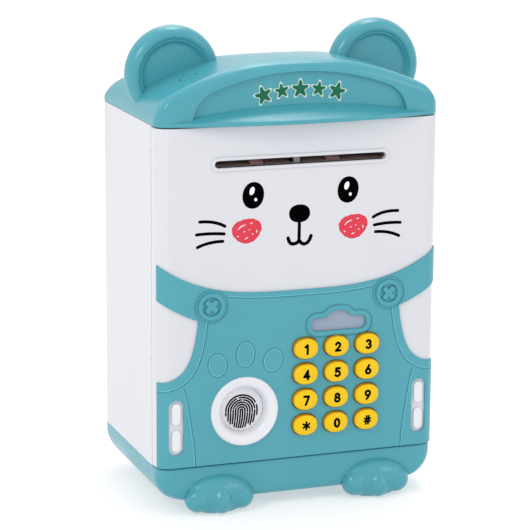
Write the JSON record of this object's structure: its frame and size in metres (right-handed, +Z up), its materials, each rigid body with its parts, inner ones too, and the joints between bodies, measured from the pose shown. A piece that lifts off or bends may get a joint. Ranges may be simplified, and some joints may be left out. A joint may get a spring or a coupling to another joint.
{
  "type": "toy atm savings bank",
  "caption": "Box-shaped money box with a domed cap, round ears and paws, a hinged front door with keypad, finger dish, banknote feed slot and bolt lock, and a coin slot in the cap.",
  "frame": {"origin": "centre of the bounding box on the surface the bank stands on", "axes": "+Z up; the door and keypad face -Y; +X is the viewer's right, where the door is hinged"},
  "size_m": [0.1442, 0.098, 0.2222],
  "materials": {
    "teal_plastic": "satin gloss",
    "white_plastic": "satin gloss",
    "grey_plastic": "fine texture",
    "yellow_plastic": "gloss",
    "window_plastic": "translucent",
    "led_plastic": "clear",
    "steel": "plated",
    "brass": "machined",
    "cell_wrap": "printed wrap",
    "black_plastic": "matt",
    "board": "solder mask",
    "foot_rubber": "matt",
    "membrane_rubber": "matt silicone",
    "roller_rubber": "matt"
  },
  "bodies": {
    "housing": {"rear_housing": "white_plastic", "top_cap": "teal_plastic", "left_ear": "teal_plastic", "right_ear": "teal_plastic", "ear_screws": "steel", "cap_screws": "steel", "base_tray": "teal_plastic", "left_paw": "teal_plastic", "right_paw": "teal_plastic", "rear_feet": "foot_rubber", "cash_floor": "grey_plastic", "base_screws": "steel", "battery_cover": "teal_plastic", "battery_cover_screw": "steel", "battery_cells": "cell_wrap", "battery_contacts": "steel", "speaker": "black_plastic", "hinge_pins": "steel", "lock_keeper": "steel"},
    "door": {"door_panel": "white_plastic", "bib_panel": "teal_plastic", "status_window": "window_plastic", "indicator_leds": "led_plastic", "fingerprint_bezel": "white_plastic", "touch_switch": "black_plastic", "key_membrane": "membrane_rubber", "control_board": "board", "inner_cover": "grey_plastic", "inner_cover_screws": "steel", "bill_guide": "white_plastic", "feed_motor": "steel", "lock_solenoid": "black_plastic", "lock_spring": "steel"},
    "key_1": {"key_1": "yellow_plastic"},
    "key_2": {"key_2": "yellow_plastic"},
    "key_3": {"key_3": "yellow_plastic"},
    "key_4": {"key_4": "yellow_plastic"},
    "key_5": {"key_5": "yellow_plastic"},
    "key_6": {"key_6": "yellow_plastic"},
    "key_7": {"key_7": "yellow_plastic"},
    "key_8": {"key_8": "yellow_plastic"},
    "key_9": {"key_9": "yellow_plastic"},
    "key_star": {"key_star": "yellow_plastic"},
    "key_0": {"key_0": "yellow_plastic"},
    "key_hash": {"key_hash": "yellow_plastic"},
    "finger_pad": {"fingerprint_pad": "white_plastic"},
    "drive_roller": {"drive_shaft": "steel", "drive_rollers": "roller_rubber", "drive_gear": "white_plastic"},
    "motor_rotor": {"motor_pinion": "brass"},
    "pinch_roller": {"pinch_shaft": "steel", "pinch_rollers": "roller_rubber"},
    "bill_sensor": {"bill_sensor_lever": "white_plastic"},
    "lock_bolt": {"lock_bolt": "steel"}
  },
  "joints": [
    {"name": "door_hinge", "type": "hinge", "parent": "housing", "child": "door", "pos_m": [0.0645, -0.0347, 0.1], "axis": [0, 0, 1], "range_deg": [0, 105]},
    {"name": "key_1_press", "type": "slide", "parent": "door", "child": "key_1", "axis": [0, 1, 0], "range_m": [0, 0.0012], "stiffness_N_per_m": 700, "springref_m": -0.0005},
    {"name": "key_2_press", "type": "slide", "parent": "door", "child": "key_2", "axis": [0, 1, 0], "range_m": [0, 0.0012], "stiffness_N_per_m": 700, "springref_m": -0.0005},
    {"name": "key_3_press", "type": "slide", "parent": "door", "child": "key_3", "axis": [0, 1, 0], "range_m": [0, 0.0012], "stiffness_N_per_m": 700, "springref_m": -0.0005},
    {"name": "key_4_press", "type": "slide", "parent": "door", "child": "key_4", "axis": [0, 1, 0], "range_m": [0, 0.0012], "stiffness_N_per_m": 700, "springref_m": -0.0005},
    {"name": "key_5_press", "type": "slide", "parent": "door", "child": "key_5", "axis": [0, 1, 0], "range_m": [0, 0.0012], "stiffness_N_per_m": 700, "springref_m": -0.0005},
    {"name": "key_6_press", "type": "slide", "parent": "door", "child": "key_6", "axis": [0, 1, 0], "range_m": [0, 0.0012], "stiffness_N_per_m": 700, "springref_m": -0.0005},
    {"name": "key_7_press", "type": "slide", "parent": "door", "child": "key_7", "axis": [0, 1, 0], "range_m": [0, 0.0012], "stiffness_N_per_m": 700, "springref_m": -0.0005},
    {"name": "key_8_press", "type": "slide", "parent": "door", "child": "key_8", "axis": [0, 1, 0], "range_m": [0, 0.0012], "stiffness_N_per_m": 700, "springref_m": -0.0005},
    {"name": "key_9_press", "type": "slide", "parent": "door", "child": "key_9", "axis": [0, 1, 0], "range_m": [0, 0.0012], "stiffness_N_per_m": 700, "springref_m": -0.0005},
    {"name": "key_star_press", "type": "slide", "parent": "door", "child": "key_star", "axis": [0, 1, 0], "range_m": [0, 0.0012], "stiffness_N_per_m": 700, "springref_m": -0.0005},
    {"name": "key_0_press", "type": "slide", "parent": "door", "child": "key_0", "axis": [0, 1, 0], "range_m": [0, 0.0012], "stiffness_N_per_m": 700, "springref_m": -0.0005},
    {"name": "key_hash_press", "type": "slide", "parent": "door", "child": "key_hash", "axis": [0, 1, 0], "range_m": [0, 0.0012], "stiffness_N_per_m": 700, "springref_m": -0.0005},
    {"name": "finger_pad_press", "type": "slide", "parent": "door", "child": "finger_pad", "axis": [0, 1, 0], "range_m": [0, 0.0008], "stiffness_N_per_m": 700, "springref_m": -0.0005},
    {"name": "drive_roller_spin", "type": "hinge", "parent": "door", "child": "drive_roller", "pos_m": [0, -0.028, 0.1573], "axis": [1, 0, 0], "continuous": true},
    {"name": "motor_spin", "type": "hinge", "parent": "door", "child": "motor_rotor", "pos_m": [-0.05, -0.028, 0.1452], "axis": [1, 0, 0], "continuous": true},
    {"name": "pinch_roller_spin", "type": "hinge", "parent": "door", "child": "pinch_roller", "pos_m": [0, -0.028, 0.1693], "axis": [1, 0, 0], "continuous": true},
    {"name": "bill_sensor_swing", "type": "hinge", "parent": "door", "child": "bill_sensor", "pos_m": [0, -0.0335, 0.1702], "axis": [1, 0, 0], "range_deg": [0, 38], "stiffness_Nm_per_rad": 0.002, "springref_deg": -5.73},
    {"name": "lock_bolt_slide", "type": "slide", "parent": "door", "child": "lock_bolt", "axis": [-1, 0, 0], "range_m": [0, 0.006], "deforming": ["lock_spring"]}
  ],
  "couplings": [
    {"joint": "motor_spin", "follows": "drive_roller_spin", "ratio": -3},
    {"joint": "pinch_roller_spin", "follows": "drive_roller_spin", "ratio": -1}
  ]
}
